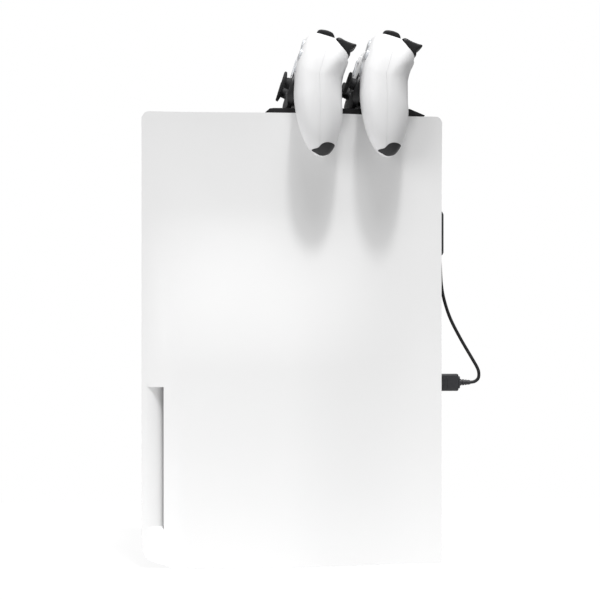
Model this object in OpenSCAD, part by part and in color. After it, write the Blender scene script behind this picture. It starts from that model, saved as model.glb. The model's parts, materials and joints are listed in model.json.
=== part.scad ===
// Upright game console with a top-mounted charging dock and two controllers.
// Row frame, millimetres: origin at the centre of the footprint on the floor, +Z up,
// -Y the console's narrow front, +X the side with the disc drive.

/* [Console] */
// Height of the side covers
console_h = 390; // [380:1:400]
// Depth of the side covers, front to back
console_d = 260; // [256:1:264]
// Half width over the covers at the rear
rear_half_w = 36; // [35.5:0.1:36.5]
// Half width over the covers at the flared front edge
front_half_w = 46; // [45:0.5:47]
// Half width over the disc drive bulge
bulge_half_w = 52; // [51.5:0.1:52.5]
// Thickness of a side cover
cover_t = 2.5; // [2:0.1:2.8]
// Half width of the core between the covers
core_half_w = 31; // [30.5:0.1:31.2]
// Half width that the covers flare out to at their front top
top_half_w = 41; // [40:0.5:42]
// Half depth of the core
core_half_d = 118; // [116:0.5:118]
// Height of the core
core_h = 380; // [379:0.5:380]
// Wall of the core shells
wall = 2.5; // [2:0.1:3]

/* [Disc drive] */
// Width of the slot that a disc goes through
slot_w = 4.3; // [4.2:0.1:4.4]
// Lowest point of the slot
slot_z0 = 32; // [30:1:34]
// Highest point of the slot
slot_z1 = 155; // [154:1:157]

/* [Cooling fan] */
// Radius of the fan
fan_r = 54; // [48:1:55]
// Number of fan blades
fan_blades = 15; // [7:2:21]

/* [Dock] */
// Height of the dock's flat top
dock_top = 396.4; // [396:0.1:396.6]
// Distance between the two controllers
pad_pitch = 56.6; // [56:0.1:58]
// Backward tilt of the controllers, in degrees
pad_tilt = 17; // [16.5:0.5:17.5]

/* [Controller] */
// Half width of a controller
pad_half_w = 80; // [78:0.5:80]
// Radius of a thumb stick's cap
cap_r = 9; // [8.5:0.1:9]
// Radius of a face button
face_r = 4.6; // [4:0.1:4.8]
// Clearance around each moving piece
gap = 0.4; // [0.35:0.05:0.5]

/* [Cable] */
// Diameter of the dock's cable
cable_d = 3; // [2.6:0.1:3.2]

/* [Hidden] */
$fn = 48;
half_d = console_d / 2;

CONSOLE_NODES = ["side_cover_right", "side_cover_left", "core_shell_right", "core_shell_left",
    "front_port_block", "rear_port_block", "power_button", "eject_button", "fan_rotor", "heatsink",
    "power_supply", "main_board", "disc_drive", "disc_spindle"];
DOCK_NODES = ["dock_base", "dock_cover", "dock_contacts", "dock_cable", "usb_plug", "cable_clip"];
PADS = ["pad1", "pad2"];
PAD_NODES = ["front_shell", "rear_shell", "trim", "touchpad", "button_top", "button_right",
    "button_bottom", "button_left", "dpad", "create_button", "options_button", "home_button",
    "left_bumper", "right_bumper", "left_trigger", "right_trigger",
    "left_stick_yoke", "right_stick_yoke", "left_stick", "right_stick"];

// Colours
white = [0.93, 0.93, 0.94];
black = [0.07, 0.07, 0.08];
grey = [0.32, 0.33, 0.35];
metal = [0.70, 0.70, 0.72];
gold = [0.83, 0.66, 0.30];
green = [0.10, 0.30, 0.20];
clear = [0.80, 0.82, 0.85];

// ---------- shared helpers ----------

function lerp(a, b, t) = a + (b - a) * t;
function unit(t) = min(1, max(0, t));
function smooth(t) = let (c = unit(t)) c * c * (3 - 2 * c);
function sgn_pow(a, e) = sign(a) * pow(abs(a), e);

// Solid through a list of closed loops that all have the same number of points. Each patch is split
// along one of its diagonals, or along the other one if turned.
module loft(loops, turned = false) {
    n = len(loops[0]);
    m = len(loops);
    sides = [for (i = [0:m - 2]) for (j = [0:n - 1])
        let (a = i * n + j, b = a + n, c = i * n + (j + 1) % n, d = c + n)
        each turned ? [[a, b, d], [a, d, c]] : [[a, b, c], [c, b, d]]];
    ends = [[for (j = [0:n - 1]) j], [for (j = [n - 1:-1:0]) (m - 1) * n + j]];
    polyhedron([for (l = loops) each l], concat(sides, ends));
}

// Outline drawn in Y and Z, made solid from x0 to x1
module along_x(x0, x1) {
    translate([x0, 0, 0]) rotate([90, 0, 90]) linear_extrude(x1 - x0) children();
}

// Outline drawn in X and Z, made solid from y0 to y1
module along_y(y0, y1) {
    translate([0, y1, 0]) rotate([90, 0, 0]) linear_extrude(y1 - y0) children();
}

// Round bar along Y, from y0 to y1
module rod_y(x, z, r, y0, y1) {
    translate([x, y1, z]) rotate([90, 0, 0]) cylinder(h = y1 - y0, r = r);
}

// Rounded rectangle centred on the origin
module round_rect(w, h, r) {
    square([w - 2 * r, h], center = true);
    square([w, h - 2 * r], center = true);
    for (x = [-1, 1]) for (y = [-1, 1]) translate([x * (w / 2 - r), y * (h / 2 - r)]) circle(r);
}

module box(x0, x1, y0, y1, z0, z1) {
    translate([x0, y0, z0]) cube([x1 - x0, y1 - y0, z1 - z0]);
}

// ---------- side covers ----------

front_top_r = 7;
rear_top_r = 6;
rear_low_r = 2.5;
cover_z0 = 0.5;
chin_z = 6.7;
chin_y = 7.5;
chin_top = 26;

function round_in(r, t) = t <= 0 ? 0 : r - sqrt(max(0, r * r - t * t));

// Front and rear edges of a cover at height z
function front_edge(z) = z < chin_z ? -half_d + 29 - 21.5 * z / chin_z
    : z < chin_top ? -half_d + chin_y - chin_y * sqrt(1 - pow((chin_top - z) / (chin_top - chin_z), 2))
    : -half_d + round_in(front_top_r, z - console_h + front_top_r);
function rear_edge(z) = half_d - round_in(rear_top_r, z - console_h + rear_top_r)
    - round_in(rear_low_r, cover_z0 + rear_low_r - z);

// Crease that the bulge rises to, further forward towards its top
function crease_y(z) = -98 - 16 * pow(unit((z - 92) / 180), 1.15);
function flare(y) = (front_half_w - rear_half_w) * pow(unit((-60 - y) / 70), 2);
// The covers also flare out towards their top, a little less behind the controllers
function top_flare(y, z) = (top_half_w - rear_half_w) * pow(unit((z - 285) / 105), 2)
    * (1 - 0.2 * smooth((y + 25) / 25));
function cover_x(y, z, b) = let (w = rear_half_w + sqrt(pow(flare(y), 2) + pow(top_flare(y, z), 2)))
    w + b * (bulge_half_w - w) * unit(1 - (crease_y(z) - y) / 32)
    * (1 - smooth((y + 4) / 119)) * (1 - smooth((z - 170) / 140));
// The top edge slopes down a little towards the rear
function cover_z(y, z) = z + 1.5 * smooth((z - 340) / 45) * (1 - 1.6 * smooth((y - 20) / 90));

cover_rows = [cover_z0, 3, 6.7, 13, 26, 92, 140, 170, 195, 220, 245, 270, 290, 310, 330, 350, 370,
    383, 387, 390];
cover_cols = [0, 0.03, 0.07, 0.11, 0.15, 0.2, 0.27, 0.38, 0.5, 0.6, 0.7, 0.8, 0.9, 0.96, 1];

// The left cover has no bulge, so fewer rows and columns carry its shape
left_rows = [cover_z0, 6.7, 13, 26, 285, 320, 350, 375, 386, 390];
left_cols = [0, 0.03, 0.07, 0.12, 0.18, 0.27, 0.42, 0.52, 0.75, 0.95, 1];

// One closed loop per row: along the outside, then back along the inside
function cover_loop(z, b, cols) = let (y0 = front_edge(z), y1 = rear_edge(z))
    concat([for (c = cols) let (y = lerp(y0, y1, c)) [cover_x(y, z, b), y, cover_z(y, z)]],
        [for (i = [len(cols) - 1:-1:0]) let (y = lerp(y0, y1, cols[i]))
            [cover_x(y, z, b) - cover_t, y, cover_z(y, z)]]);

slot_y0 = -123.5;
slot_y1 = -111;
slot_floor = 40.6;
tray_t = 1.5;

// Thick wall that the disc slot's recess is cut into
module slot_wall() {
    translate([0, 0, slot_z0 - tray_t]) linear_extrude(slot_z1 - slot_z0 + 2 * tray_t)
        polygon([[44.4, slot_y0 - 1.1], [46.7, slot_y1 - 0.2], [slot_floor - tray_t, slot_y1 - 0.2],
            [slot_floor - tray_t, -118.6], [43.9, slot_y0 - 1.1]]);
}

// Recess, whose floor ramps down towards the slot at its rear side
module slot_recess() {
    translate([0, 0, slot_z0]) linear_extrude(slot_z1 - slot_z0)
        polygon([[60, slot_y0], [44.9, slot_y0], [slot_floor, -117.5], [slot_floor, slot_y1], [60, slot_y1]]);
}

module side_cover_right() {
    color(white) difference() {
        union() {
            loft([for (z = cover_rows) cover_loop(z, 1, cover_cols)]);
            slot_wall();
        }
        slot_recess();
    }
}

module side_cover_left() {
    color(white) mirror([1, 0, 0]) loft([for (z = left_rows) cover_loop(z, 0, left_cols)]);
}

// ---------- core ----------

stand_hole_x = 15;
stand_hole_r = 2.1;
stand_hole_depth = 9;
rear_block_z0 = 84;
rear_block_z1 = 206;
front_block_z0 = 176;
front_block_z1 = 226;
power_z = 62;
eject_z = 92;
button_x = 14;

// Space under the slanted lower front edge of the core, moved in by s
module core_chin(s) {
    along_x(-1, core_half_w + 1)
        polygon([[-core_half_d - 1, -1], [-96 + 2 * s, -1], [-core_half_d - 1, 12 + 1.2 * s]]);
}

// Outline of one half of the core, in plan, set in by s
module core_plan(s) {
    intersection() {
        round_rect(2 * (core_half_w - s), 2 * (core_half_d - s), 5);
        translate([0.1, -core_half_d]) square([core_half_w, 2 * core_half_d]);
    }
}

// Rows of slots for the air, through the front or rear wall
module air_slots(y0, z0, z1) {
    for (z = [z0:7:z1]) box(5, 27, y0, y0 + wall + 2, z, z + 3);
}

module core_half() {
    difference() {
        linear_extrude(core_h) core_plan(0);
        core_chin(0);
        difference() {
            translate([0, 0, wall]) linear_extrude(core_h - 2 * wall) core_plan(wall);
            core_chin(wall);
        }
        box(-1, 21, core_half_d - wall - 1, core_half_d + 1, rear_block_z0, rear_block_z1);
        box(-1, 9, -core_half_d - 1, -core_half_d + wall + 1, front_block_z0, front_block_z1);
        air_slots(core_half_d - wall - 1, 222, 362);
        air_slots(-core_half_d - 1, 244, 362);
    }
}

module pill(w, h) {
    square([w, h - w], center = true);
    for (s = [-1, 1]) translate([0, s * (h - w) / 2]) circle(w / 2);
}

module core_shell_right() {
    color(black) {
        difference() {
            union() {
                core_half();
                translate([stand_hole_x, 0, 0]) cylinder(h = 12, r = 6);
            }
            translate([stand_hole_x, 0, -1]) cylinder(h = stand_hole_depth + 1, r = stand_hole_r);
            for (z = [power_z, eject_z])
                along_y(-core_half_d - 1, -core_half_d + wall + 1)
                    translate([button_x, z]) pill(5 + 2 * gap, 18 + 2 * gap);
        }
    }
}

module core_shell_left() {
    color(black) mirror([1, 0, 0]) core_half();
}

module console_button(z) {
    along_y(-core_half_d - 1, -core_half_d + 6) translate([button_x, z]) pill(5, 18);
    along_y(-core_half_d + wall + 1.4, -core_half_d + 6) translate([button_x, z]) pill(9, 22);
}

module power_button() {
    color(white) console_button(power_z);
}

module eject_button() {
    color(white) console_button(eject_z);
}

// ---------- ports ----------

port_depth = 11;
usb_w = 5.4;
usb_h = 13;
plug_z = 156.1;
usb2_x = 12;
video_x = -12;
lan_z = 190;
inlet_z = 104;

module front_port_block() {
    color(black) difference() {
        box(-8.8, 8.8, -core_half_d + 0.6, -core_half_d + 14, front_block_z0 + 0.2, front_block_z1 - 0.2);
        along_y(-core_half_d, -core_half_d + port_depth) translate([0, 188]) square([usb_w, usb_h], center = true);
        along_y(-core_half_d, -core_half_d + 8) translate([0, 212]) pill(3.2, 9);
    }
}

module rear_port_block() {
    color(black) difference() {
        box(-20.8, 20.8, core_half_d - 14, core_half_d - 0.6, rear_block_z0 + 0.2, rear_block_z1 - 0.2);
        along_y(core_half_d - port_depth, core_half_d + 1) {
            for (x = [0, usb2_x]) translate([x, plug_z]) square([usb_w, usb_h], center = true);
            translate([video_x, plug_z]) square([5.6, 15.4], center = true);
            translate([0, lan_z]) square([12, 12], center = true);
            translate([0, inlet_z]) pill(9, 20);
        }
    }
}

// ---------- inner pieces ----------

fan_y = -52;
fan_z = 300;
fan_x0 = -9;
fan_x1 = 22;

module fan_rotor() {
    color(grey) {
        translate([fan_x0, fan_y, fan_z]) rotate([0, 90, 0]) {
            cylinder(h = 1.6, r = fan_r);
            cylinder(h = fan_x1 - fan_x0, r = 17);
            for (i = [0:fan_blades - 1])
                rotate([0, 0, i * 360 / fan_blades]) translate([15, 0, 1])
                    cube([fan_r - 16, 1.6, fan_x1 - fan_x0 - 3]);
        }
    }
}

module heatsink() {
    color(metal) {
        box(-12, -8, 14, 104, 196, 352);
        for (z = [198:11:346]) box(-8.5, 22, 16, 102, z, z + 1.6);
    }
}

module power_supply() {
    color(grey) box(-22, 22, -92, 92, 14, 74);
}

module main_board() {
    color(green) {
        box(-16, -14.4, -20, 100, 90, 372);
        box(-14.5, -12.1, 30, 70, 240, 290);
        for (z = [110:16:174]) box(-14.5, -11, 12, 24, z, z + 10);
    }
}

drive_x0 = core_half_w + 0.3;
drive_y0 = -96;
drive_y1 = 28;
disc_y = -34;
disc_z = (slot_z0 + slot_z1) / 2;
slot_x1 = slot_floor + slot_w;

module disc_drive() {
    color(grey) difference() {
        box(drive_x0, 46.4, drive_y0, drive_y1, 24, 163);
        box(slot_floor, slot_x1, drive_y0 - 1, 25.5, slot_z0, slot_z1 + 0.2);
        translate([34, disc_y, disc_z]) rotate([0, 90, 0]) cylinder(h = 7, r = 16);
    }
}

module disc_spindle() {
    color(metal) translate([34.6, disc_y, disc_z]) rotate([0, 90, 0]) {
        cylinder(h = 2.4, r = 15);
        cylinder(h = 5.5, r = 7.3);
    }
}

// ---------- dock ----------

pad_y1 = 20;
pad_z = 400;
saddle_top = 2.6;
dock_y0 = -24;
dock_y1 = 115.6;
exit_y = 118;
exit_z = 385.5;

// A controller's own axes: X across, Y from its face to its back, Z from its grips to its triggers
module on_pad(k) {
    translate([0, pad_y1 + k * pad_pitch, pad_z]) rotate([-pad_tilt, 0, 0]) children();
}

module dock_base() {
    color(black) difference() {
        union() {
            box(-30, 30, -20, exit_y - 1, core_h + 0.2, 390.3);
            rod_y(0, exit_z, 3, exit_y - 2, exit_y);
        }
        box(-27, 27, -17, exit_y - 4, core_h + 3, 391);
    }
}

module dock_cover() {
    color(black) difference() {
        union() {
            along_x(-34, 34) polygon([[dock_y0, 390.5], [dock_y0, 392.3], [-19.8, dock_top - 0.4],
                [-16, dock_top], [102.4, dock_top], [dock_y1, 390.9], [dock_y1, 390.5]]);
            for (k = [0, 1]) intersection() {
                on_pad(k) box(-15, 15, -10.5, 13, -14, saddle_top);
                box(-20, 20, -30, 120, 391, 420);
            }
        }
        for (k = [0, 1]) on_pad(k) for (x = [-5, 5])
            translate([x, 0, saddle_top - 2]) cylinder(h = 4, r = 1.5);
    }
}

module dock_contacts() {
    color(gold) for (k = [0, 1]) on_pad(k) for (x = [-5, 5])
        translate([x, 0, saddle_top - 1.9]) cylinder(h = 1.8, r = 1.2);
}

// Cable, from the dock down behind the console, through the clip and round into the plug
cable_route = [[118, 385.5], [121, 385.5], [124, 384.4], [126.2, 382.2], [127.2, 379], [127.4, 370],
    [127.4, 355], [127.4, 340], [127.6, 326], [128.6, 313], [130.4, 300], [132, 287], [133, 275],
    [134, 263.9], [135.3, 243.4], [138, 229], [143.4, 213], [152.4, 195.4], [162.6, 178],
    [167.4, 169.6], [169, 164.6], [168.5, 159.8], [165.4, 156.9], [161.2, 156.1]];
cable_sides = 8;

function route(i) = cable_route[min(len(cable_route) - 1, max(0, i))];
function curve_at(i, t) = let (a = route(i - 1), b = route(i), c = route(i + 1), d = route(i + 2))
    0.5 * (2 * b + (c - a) * t + (2 * a - 5 * b + 4 * c - d) * t * t + (3 * b - a - 3 * c + d) * t * t * t);
cable_path = concat([for (i = [0:len(cable_route) - 2]) for (t = [0, 0.5]) curve_at(i, t)],
    [route(len(cable_route) - 1)]);

function ring_dir(i) = let (a = cable_path[max(0, i - 1)], b = cable_path[min(len(cable_path) - 1, i + 1)])
    (b - a) / norm(b - a);
function cable_ring(i) = let (d = ring_dir(i), p = cable_path[i])
    [for (j = [0:cable_sides - 1]) let (a = j * 360 / cable_sides, s = cable_d / 2 * sin(a))
        [cable_d / 2 * cos(a), p[0] + s * d[1], p[1] - s * d[0]]];

module dock_cable() {
    color(black) loft([for (i = [0:len(cable_path) - 1]) cable_ring(i)]);
}

module usb_plug() {
    color(grey) {
        translate([0, 0, plug_z]) rotate([-90, 0, 0]) {
            translate([0, 0, 119]) linear_extrude(31) round_rect(8, 15.2, 1.5);
            translate([0, 0, 149]) linear_extrude(2.7) round_rect(7, 13.2, 1.5);
            translate([0, 0, 150]) cylinder(h = 6, r = 3);
            translate([0, 0, 155]) cylinder(h = 6.2, r = 2.3);
        }
        box(-2.3, 2.3, 108, 120, plug_z - 6, plug_z + 6);
    }
}

module cable_clip() {
    color(grey) difference() {
        along_x(-7, 7) polygon([[core_half_d + 0.3, 272], [132, 269.3], [135, 269.6], [136.2, 272],
            [136.2, 306], [135, 308.4], [132, 308.7], [core_half_d + 0.3, 306]]);
        box(-1.9, 1.9, 126, 135.2, 268, 310);
    }
}

// ---------- controllers ----------

pad_top = 55.4;
grip_low = -45.6;
belly_low = 3.2;
wide_z = 12;
stick_x = 32;
stick_z = 10.3;
stick_pivot = -14;
face_x = 52;
face_z = 33;
face_step = 10;
trim_front = -26.2;
trim_back = -19;

function pad_high(x) = let (a = abs(x)) a < 60 ? pad_top
    : wide_z + (pad_top - wide_z) * sqrt(max(0, 1 - pow((a - 60) / (pad_half_w - 60), 2)));
function pad_low(x) = let (a = abs(x)) a < 62 ? lerp(belly_low, grip_low, smooth((a - 40) / 17))
    : wide_z - (wide_z - grip_low) * sqrt(max(0, 1 - pow((a - 62) / (pad_half_w - 62), 2)));

// Depth of the body: slimmer in the middle, closing at the outer ends
function pad_wide(x) = let (a = abs(x))
    (0.88 + 0.12 * smooth((a - 28) / 16)) * sqrt(max(0, 1 - pow(unit((a - 50) / (pad_half_w - 50)), 3.2)));
// Middle line of the body, which bends back towards the grips' tips
function pad_mid(z) = -6 + 21 * pow(unit((20 - z) / 66), 0.95);
function pad_deep(z) = 20.3 + 1.9 * smooth((18 - z) / 24);
// Slight hook of the back, under the triggers
function pad_hook(z) = 1.9 * smooth((z - 29) / 9);
function pad_round(x, up) = up ? 5.5 : lerp(5, 2, smooth((abs(x) - 38) / 14));

pad_stations = [-79.7, -79, -77, -74, -70, -65, -60, -56, -52, -49, -46, -43, -40, -36, -28, -14, 0,
    14, 28, 36, 40, 43, 46, 49, 52, 56, 60, 65, 70, 74, 77, 79, 79.7];
half_points = 12;
mid_points = 6;

// Point of the section at x, at angle t from the back, going up
function pad_point(x, t) = let (up = sin(t) >= 0, n = pad_round(x, up),
    c = (pad_high(x) + pad_low(x)) / 2, h = (pad_high(x) - pad_low(x)) / 2,
    z = c + h * sgn_pow(sin(t), 2 / n), d = pad_deep(z) + (cos(t) > 0 ? pad_hook(z) : 0))
    [x, pad_mid(z) + d * pad_wide(x) * sgn_pow(cos(t), 2 / n), z];

// Half a section, closed along the middle line; side is -1 for the face, 1 for the back
function pad_loop(x, side) = let (a = pad_point(x, 90)[2], b = pad_point(x, 270)[2])
    concat([for (i = [0:half_points]) pad_point(x, 90 - side * i * 180 / half_points)],
        [for (j = [mid_points - 1:-1:1]) let (z = lerp(a, b, j / mid_points)) [x, pad_mid(z) + side * 0.05, z]]);

module pad_half(side) {
    loft([for (x = pad_stations) side > 0 ? pad_loop(-x, side) : pad_loop(x, side)], side > 0);
}

// Lower end of one grip, in one piece
module pad_tip(s) {
    loft([for (x = pad_stations) if (s * x > 44 && s * x < 79)
        [for (i = [0:2 * half_points - 1]) pad_point(x, 90 + i * 180 / half_points)]]);
}

// Outline of the dark centre piece, grown by s
module trim_outline(s) {
    for (x = [-1, 1]) translate([x * stick_x, 6.8]) circle(14.6 + s);
    translate([-stick_x, -7.8 - s]) square([2 * stick_x, 25 + 2 * s]);
}

// Slanted shoulder that both triggers lie on, and the deeper room inside it that they swing in
module trigger_room() {
    for (s = [-1, 1]) {
        along_x(s * 59 - 22, s * 59 + 22) polygon([[-0.9, 62], [-0.9, 53.6], [0.9, 51.9], [5.5, 48.4],
            [10.9, 45.2], [14.9, 42.3], [16.5, 40.6], [30, 40.6], [30, 62]]);
        along_x(s * 51.4 - 14, s * 51.4 + 14) polygon([[-0.9, 62], [-0.9, 49.6], [4, 46.3], [8, 42.3],
            [11, 39.2], [30, 39.2], [30, 62]]);
    }
}

// Room for both bumpers, sunk into the top
module bumper_room() {
    for (s = [-1, 1]) along_x(s * 51 - 13.4, s * 51 + 13.4) polygon([[-17.9, 62], [-17.9, 52.4], [-0.8, 52.4],
        [-0.8, 62]]);
}

// Space of the dark caps on the outer sides of the grips' tips
module grip_cap_room() {
    for (s = [-1, 1]) along_x(s * 74 - 16, s * 74 + 16)
        polygon([[7.4, -42.5], [12.5, -44.3], [16.9, -44.6], [21.4, -42.2], [25, -38.2], [29, -38.2],
            [29, -32.5], [23, -32.3], [18, -33], [14, -35.6], [11.8, -39.6]]);
}

module cross(w, l) {
    square([w, l], center = true);
    square([l, w], center = true);
}

function face_place(i) = [face_x + face_step * [0, 1, 0, -1][i], face_z + face_step * [1, 0, -1, 0][i]];
face_front = -26.9;
menu_x = 36.5;
menu_z = 44;
pad_centre = 34;

module pad_front_shell(k) {
    color(white) on_pad(k) difference() {
        pad_half(-1);
        grip_cap_room();
        bumper_room();
        along_y(-60, trim_back + 0.1) trim_outline(0.15);
        for (s = [-1, 1]) rod_y(s * stick_x, stick_z, 13, -40, -8.2);
        for (i = [0:3]) rod_y(face_place(i)[0], face_place(i)[1], face_r + gap, -40, -18.8);
        along_y(-40, -19) translate([-face_x, face_z]) cross(8 + 2 * gap, 25 + 2 * gap);
        for (s = [-1, 1]) along_y(-40, -19) translate([s * menu_x, menu_z]) pill(3.2 + 2 * gap, 8 + 2 * gap);
        along_y(-40, -20) translate([0, pad_centre]) round_rect(54 + 2 * gap, 20 + 2 * gap, 3);
    }
}

module pad_rear_shell(k) {
    color(white) on_pad(k) difference() {
        pad_half(1);
        trigger_room();
        bumper_room();
        grip_cap_room();
    }
}

module pad_trim(k) {
    color(black) on_pad(k) {
        difference() {
            along_y(trim_front, trim_back) trim_outline(0);
            for (s = [-1, 1]) rod_y(s * stick_x, stick_z, 9.2, -40, 0);
            rod_y(0, 4, 3.5 + gap, -40, 0);
            along_x(-60, 60) polygon([[-30, 1], [trim_front, 1], [-22.6, -9], [-30, -9]]);
        }
        for (s = [-1, 1]) intersection() {
            pad_tip(s);
            grip_cap_room();
        }
    }
}

module pad_touchpad(k) {
    color(white) on_pad(k) along_y(-24.6, -21.2) translate([0, pad_centre]) round_rect(54, 20, 3);
}

module pad_face_button(k, i) {
    color(clear) on_pad(k) rod_y(face_place(i)[0], face_place(i)[1], face_r, face_front, -20.6);
}

module pad_dpad(k) {
    color(white) on_pad(k) along_y(face_front, -20.8) translate([-face_x, face_z]) cross(8, 25);
}

module pad_menu_button(k, s) {
    color(white) on_pad(k) along_y(-26.4, -20.8) translate([s * menu_x, menu_z]) pill(3.2, 8);
}

module pad_home_button(k) {
    color(black) on_pad(k) rod_y(0, 4, 3.5, trim_front - 1, trim_back - 1.5);
}

module pad_bumper(k, s) {
    color(black) on_pad(k) along_x(s * 51 - 12.9, s * 51 + 12.9)
        polygon([[-17.4, 54], [-17.4, 56.8], [-16, 58.1], [-11.1, 59.4], [-6.5, 59.2], [-4, 58.6],
            [-2.2, 56.7], [-1.4, 55.2], [-1.4, 54]]);
}

trigger_pivot = [3, 53];
pin_r = 1.2;

module pad_trigger(k, s) {
    color(black) on_pad(k) {
        along_x(s * 51.4 - 13, s * 51.4 + 13)
            polygon([[-0.3, 54.2], [0, 55.5], [1.8, 56.6], [3.1, 56.7], [8.8, 55.6], [14.3, 55.2],
                [17.8, 55.3], [18.1, 53.8], [17.1, 51.9], [15.1, 49.7], [14.6, 47.8], [15.2, 44.6],
                [14.6, 43.6], [10.9, 45.9], [5.5, 49], [0.9, 52.5]]);
        translate([s * 51.4, trigger_pivot[0], trigger_pivot[1]]) rotate([0, 90, 0])
            cylinder(h = 27, r = pin_r, center = true);
    }
}

yoke_in = 7;
yoke_out = 9.5;

// Ring that tips about X and carries the stick, which tips about Z
module pad_stick_yoke(k, s) {
    color(grey) on_pad(k) translate([s * stick_x, stick_pivot, stick_z]) {
        rotate([90, 0, 0]) difference() {
            cylinder(h = 3, r = yoke_out, center = true);
            cylinder(h = 4, r = yoke_in, center = true);
        }
        for (d = [-1, 1]) translate([d * 10.6, 0, 0]) rotate([0, 90, 0]) cylinder(h = 2.6, r = 1, center = true);
    }
}

module pad_stick(k, s) {
    color(black) on_pad(k) translate([s * stick_x, stick_pivot, stick_z]) {
        sphere(r = 5.6);
        cylinder(h = 13, r = 0.9, center = true);
        rotate([90, 0, 0]) {
            cylinder(h = 18, r = 3.4);
            translate([0, 0, 17.2]) cylinder(h = 1.6, r = cap_r);
            translate([0, 0, 17.2]) difference() {
                cylinder(h = 2.8, r = cap_r);
                cylinder(h = 4, r = cap_r - 1.8);
            }
        }
    }
}

// ---------- one line per node ----------

side_cover_right();
side_cover_left();
core_shell_right();
core_shell_left();
front_port_block();
rear_port_block();
power_button();
eject_button();
fan_rotor();
heatsink();
power_supply();
main_board();
disc_drive();
disc_spindle();
dock_base();
dock_cover();
dock_contacts();
dock_cable();
usb_plug();
cable_clip();
for (k = [0, 1]) {
    pad = PADS[k];
    pad_front_shell(k);
    pad_rear_shell(k);
    pad_trim(k);
    pad_touchpad(k);
    pad_face_button(k, 0);
    pad_face_button(k, 1);
    pad_face_button(k, 2);
    pad_face_button(k, 3);
    pad_dpad(k);
    pad_menu_button(k, -1);
    pad_menu_button(k, 1);
    pad_home_button(k);
    pad_bumper(k, -1);
    pad_bumper(k, 1);
    pad_trigger(k, -1);
    pad_trigger(k, 1);
    pad_stick_yoke(k, -1);
    pad_stick_yoke(k, 1);
    pad_stick(k, -1);
    pad_stick(k, 1);
}
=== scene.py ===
"""Looks of the upright game console with its charging dock and two controllers."""
import json
import math

import bmesh
import bpy
from mathutils import Matrix, Vector


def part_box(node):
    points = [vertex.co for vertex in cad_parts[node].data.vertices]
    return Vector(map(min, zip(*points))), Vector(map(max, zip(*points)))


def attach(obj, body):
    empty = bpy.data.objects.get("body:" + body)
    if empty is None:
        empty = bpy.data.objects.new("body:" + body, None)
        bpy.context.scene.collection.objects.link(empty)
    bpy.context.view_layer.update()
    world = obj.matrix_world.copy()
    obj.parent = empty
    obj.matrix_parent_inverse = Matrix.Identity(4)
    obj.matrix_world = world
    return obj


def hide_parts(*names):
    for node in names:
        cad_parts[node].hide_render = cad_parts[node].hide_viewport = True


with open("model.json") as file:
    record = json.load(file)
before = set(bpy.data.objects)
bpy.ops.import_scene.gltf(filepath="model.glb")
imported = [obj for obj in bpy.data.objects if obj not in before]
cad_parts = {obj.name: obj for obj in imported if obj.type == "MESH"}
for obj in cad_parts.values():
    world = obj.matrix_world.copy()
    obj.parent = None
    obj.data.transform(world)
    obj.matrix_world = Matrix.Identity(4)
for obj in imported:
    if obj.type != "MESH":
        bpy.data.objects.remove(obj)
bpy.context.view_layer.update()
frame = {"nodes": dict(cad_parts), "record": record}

MM = 0.001
JOINTS = {j["name"]: j for j in frame["record"]["behaviour"]["joints"]}

# ---------- camera ----------

CAMERA_AZIMUTH = math.radians(86.58)
CAMERA_DISTANCE = 1.4
CAMERA_TARGET = Vector((0, 0.00855, 0.22978))
CAMERA_LENS = 94.4

camera_data = bpy.data.cameras.new("camera")
camera_data.lens = CAMERA_LENS
camera = bpy.data.objects.new("camera", camera_data)
towards_camera = Vector((math.sin(CAMERA_AZIMUTH), -math.cos(CAMERA_AZIMUTH), 0))
camera.location = CAMERA_TARGET + CAMERA_DISTANCE * towards_camera
camera.rotation_euler = towards_camera.to_track_quat("Z", "Y").to_euler()
bpy.context.scene.collection.objects.link(camera)
bpy.context.scene.camera = camera


# ---------- numbers and curves ----------

def clamp(t):
    return min(1.0, max(0.0, t))


def smooth(t):
    t = clamp(t)
    return t * t * (3 - 2 * t)


def lerp(a, b, t):
    return a + (b - a) * t


def signed_power(a, e):
    return math.copysign(abs(a) ** e, a)


def spline_point(a, b, c, d, t):
    """Point between b and c on the smooth curve through a, b, c and d."""
    return tuple(0.5 * (2 * q + (r - p) * t + (2 * p - 5 * q + 4 * r - s) * t * t
                        + (3 * q - p - 3 * r + s) * t ** 3) for p, q, r, s in zip(a, b, c, d))


def open_curve(points, steps):
    """Smooth curve through points, ends included."""
    padded = [points[0], *points, points[-1]]
    curve = [spline_point(*padded[i:i + 4], k / steps) for i in range(len(points) - 1) for k in range(steps)]
    return curve + [points[-1]]


def closed_curve(points, steps):
    """Smooth closed curve through points."""
    n = len(points)
    return [spline_point(points[i - 1], points[i], points[(i + 1) % n], points[(i + 2) % n], k / steps)
            for i in range(n) for k in range(steps)]


def inset(outline, d):
    """Closed anticlockwise outline moved inwards by d along its corners' normals."""
    n = len(outline)
    moved = []
    for i in range(n):
        a, b, c = Vector(outline[i - 1]), Vector(outline[i]), Vector(outline[(i + 1) % n])
        along = (b - a).normalized() + (c - b).normalized()
        normal = Vector((-along.y, along.x)).normalized()
        moved.append(tuple(b + normal * d))
    return moved


def rounded_rect(w, h, r, steps=6):
    """Anticlockwise rounded rectangle centred on the origin."""
    outline = []
    for cx, cy, start in ((w / 2 - r, h / 2 - r, 0), (r - w / 2, h / 2 - r, 90),
                          (r - w / 2, r - h / 2, 180), (w / 2 - r, r - h / 2, 270)):
        for i in range(steps + 1):
            a = math.radians(start + 90 * i / steps)
            outline.append((cx + r * math.cos(a), cy + r * math.sin(a)))
    return outline


def circle(r, steps=48, centre=(0, 0)):
    angles = [2 * math.pi * i / steps for i in range(steps)]
    return [(centre[0] + r * math.cos(a), centre[1] + r * math.sin(a)) for a in angles]


# ---------- the dock's cable, declared first ----------

CABLE_D = 3.0
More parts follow.
